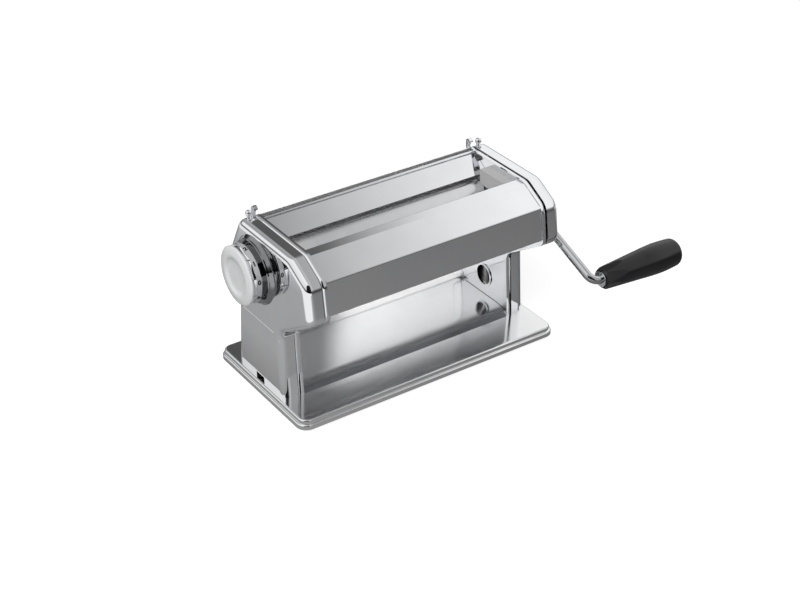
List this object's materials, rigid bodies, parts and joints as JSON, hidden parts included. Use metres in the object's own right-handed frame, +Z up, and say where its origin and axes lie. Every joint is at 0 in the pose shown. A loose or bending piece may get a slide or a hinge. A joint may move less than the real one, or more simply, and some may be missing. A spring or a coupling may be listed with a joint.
{
  "type": "pasta roller machine",
  "caption": "Hand-cranked pasta roller: chrome frame on a flat base, two smooth rollers under a hopper, a numbered thickness dial on one side and a plug-in crank with a black grip on the other.",
  "frame": {"origin": "on the table, under the middle of the base", "axes": "+X along the rollers towards the crank, +Y to the back, +Z up"},
  "size_m": [0.3443, 0.169, 0.144],
  "materials": {
    "chrome_sheet": "mirror-polished chromed steel sheet",
    "chrome_dial": "bright chrome plating on a moulded ring",
    "satin_roller": "satin anodised aluminium",
    "satin_ring": "satin band with printed numbers",
    "steel": "plain machined steel",
    "crank_steel": "chromed steel rod",
    "white_face": "smooth white plastic",
    "black_grip": "black plastic with a soft sheen",
    "black_rubber": "matt black rubber",
    "white_nylon": "off-white nylon",
    "grey_plastic": "dark grey plastic"
  },
  "bodies": {
    "frame": {"base_plate": "chrome_sheet", "base_feet": "black_rubber", "left_side_frame": "chrome_sheet", "right_side_frame": "chrome_sheet", "left_side_cover": "chrome_sheet", "right_side_cover": "chrome_sheet", "front_cover": "chrome_sheet", "hopper_back_panel": "chrome_sheet", "rear_cover": "chrome_sheet", "left_end_guide": "white_nylon", "right_end_guide": "white_nylon", "tie_rods": "steel", "cover_posts": "steel", "foot_blocks": "steel", "base_screws": "steel", "left_roller_bush": "white_nylon", "right_roller_bush": "white_nylon", "block_rails": "grey_plastic", "shaft_end_bush": "white_nylon", "dial_collar": "chrome_dial", "front_scraper": "grey_plastic"},
    "drive_roller": {"front_roller": "satin_roller", "drive_gear": "steel"},
    "crank": {"crank_rod": "crank_steel", "grip_washer": "crank_steel"},
    "grip": {"crank_grip": "black_grip"},
    "adjuster": {"adjuster_shaft": "steel", "left_scroll_plate": "steel", "right_scroll_plate": "steel", "dial_retainer": "steel"},
    "dial": {"dial_body": "chrome_dial", "dial_scale_ring": "satin_ring", "dial_face_cap": "white_face", "index_pin": "steel", "dial_spring": "steel"},
    "carriage": {"left_bearing_block": "steel", "right_bearing_block": "steel", "rear_scraper": "grey_plastic"},
    "rear_roller": {"rear_roller": "satin_roller", "driven_gear": "steel"}
  },
  "joints": [
    {"name": "drive_spin", "type": "hinge", "parent": "frame", "child": "drive_roller", "pos_m": [0, -0.0231, 0.106], "axis": [1, 0, 0], "continuous": true},
    {"name": "crank_pull", "type": "slide", "parent": "drive_roller", "child": "crank", "axis": [1, 0, 0], "range_m": [0, 0.034]},
    {"name": "grip_spin", "type": "hinge", "parent": "crank", "child": "grip", "pos_m": [0.1365, -0.0936, 0.0625], "axis": [1, 0, 0], "continuous": true},
    {"name": "dial_turn", "type": "hinge", "parent": "frame", "child": "adjuster", "pos_m": [0, 0.006, 0.106], "axis": [1, 0, 0], "range_deg": [0, 324]},
    {"name": "dial_pull", "type": "slide", "parent": "adjuster", "child": "dial", "axis": [-1, 0, 0], "range_m": [0, 0.003], "stiffness_N_per_m": 800, "springref_m": -0.004, "deforming": ["dial_spring"]},
    {"name": "gap_slide", "type": "slide", "parent": "frame", "child": "carriage", "axis": [0, -1, 0], "range_m": [0, 0.003]},
    {"name": "rear_spin", "type": "hinge", "parent": "carriage", "child": "rear_roller", "pos_m": [0, 0.0075, 0.106], "axis": [1, 0, 0], "continuous": true}
  ],
  "couplings": [
    {"joint": "gap_slide", "follows": "dial_turn", "m_per_rad": 0.00053052},
    {"joint": "rear_spin", "follows": "drive_spin", "ratio": -1}
  ]
}
